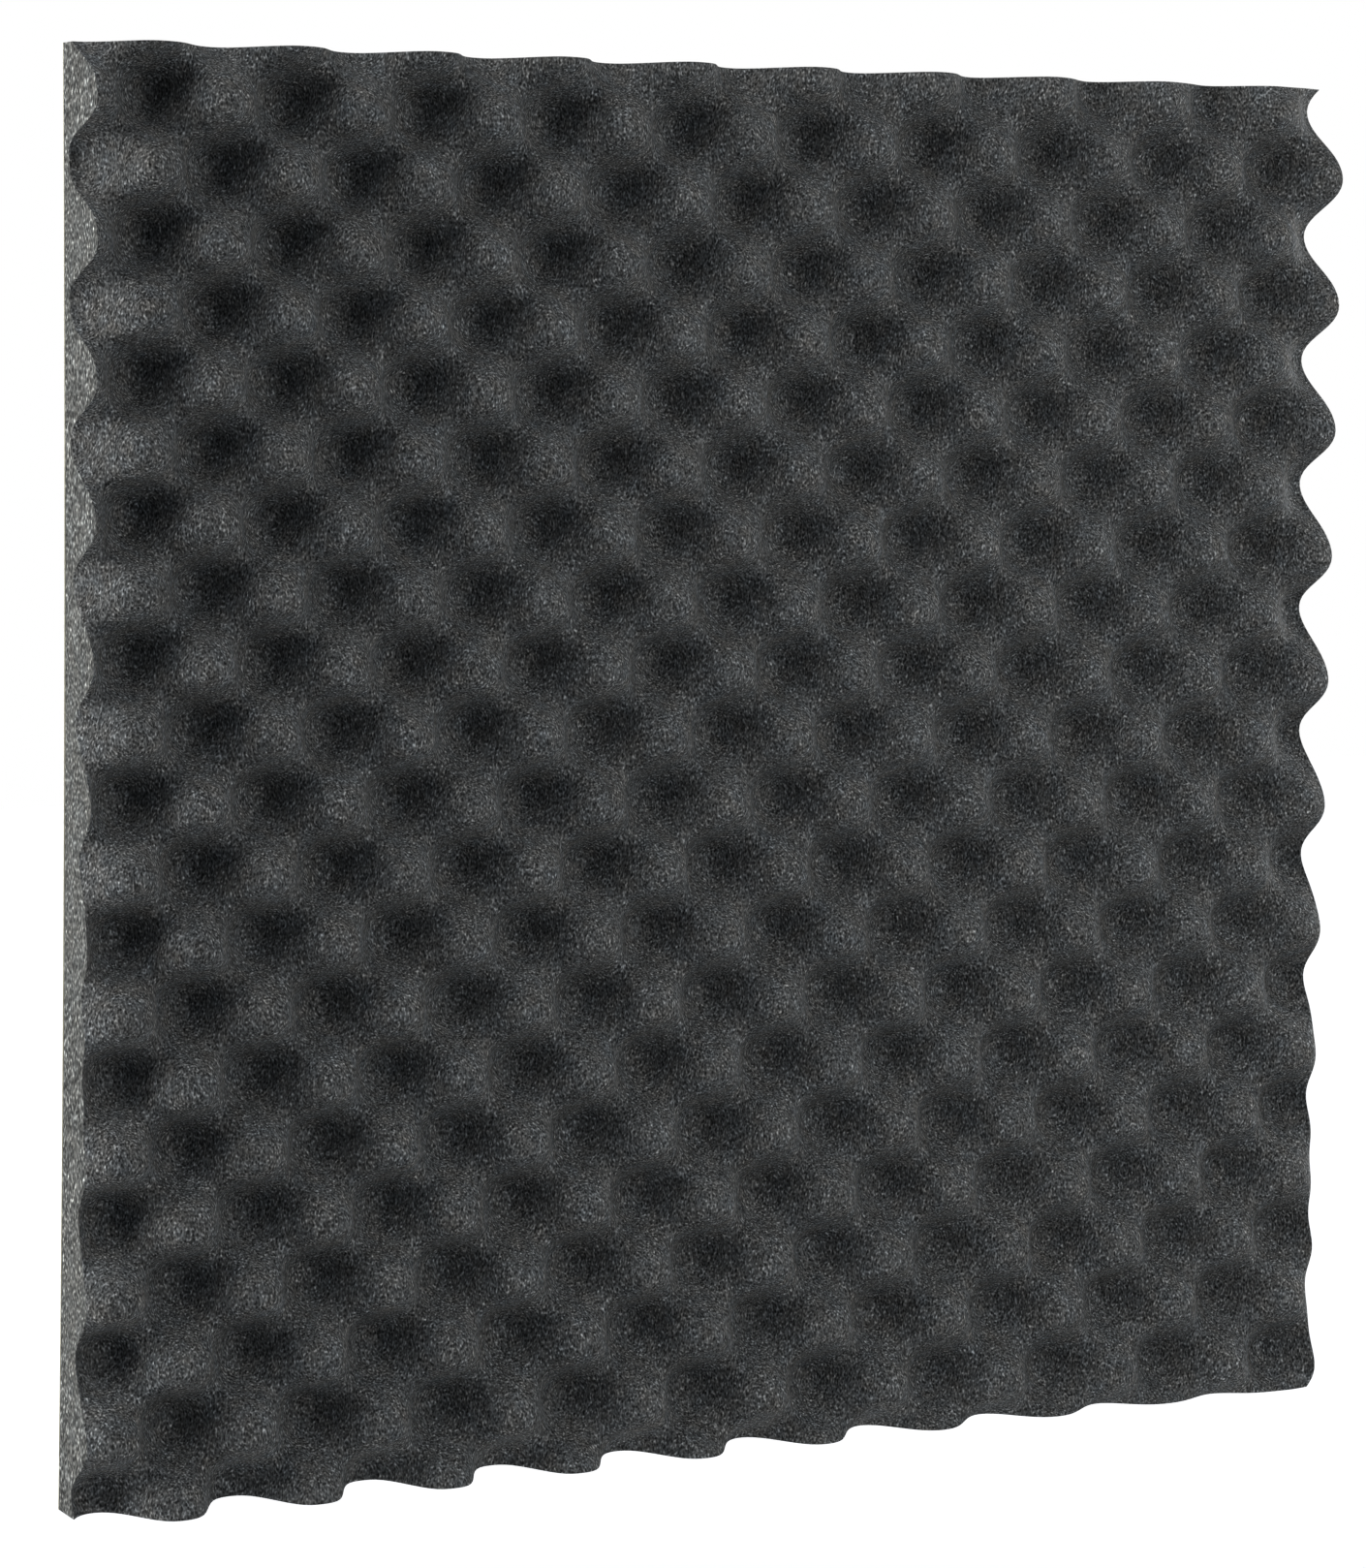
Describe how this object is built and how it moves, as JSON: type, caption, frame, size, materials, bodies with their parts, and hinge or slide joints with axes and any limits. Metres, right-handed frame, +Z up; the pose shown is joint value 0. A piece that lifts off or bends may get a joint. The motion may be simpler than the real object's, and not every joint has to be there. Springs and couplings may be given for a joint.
{
  "type": "acoustic foam panel",
  "caption": "Square convoluted foam panel with staggered round waves and dimples on its front, cut edges, and a flat self-adhesive back under a slit release liner.",
  "frame": {"origin": "middle of the wall side, on the face of the release liner", "axes": "+Y into the wall, +Z up, +X to the right seen from the wavy front, which faces -Y"},
  "size_m": [0.5, 0.0333, 0.5],
  "materials": {
    "charcoal_foam": "matte",
    "clear_adhesive": "satin",
    "liner_paper": "satin"
  },
  "bodies": {
    "root": {"foam_slab": "charcoal_foam", "adhesive_film": "clear_adhesive", "release_liner_strip": "liner_paper", "release_liner_sheet": "liner_paper"}
  },
  "joints": []
}
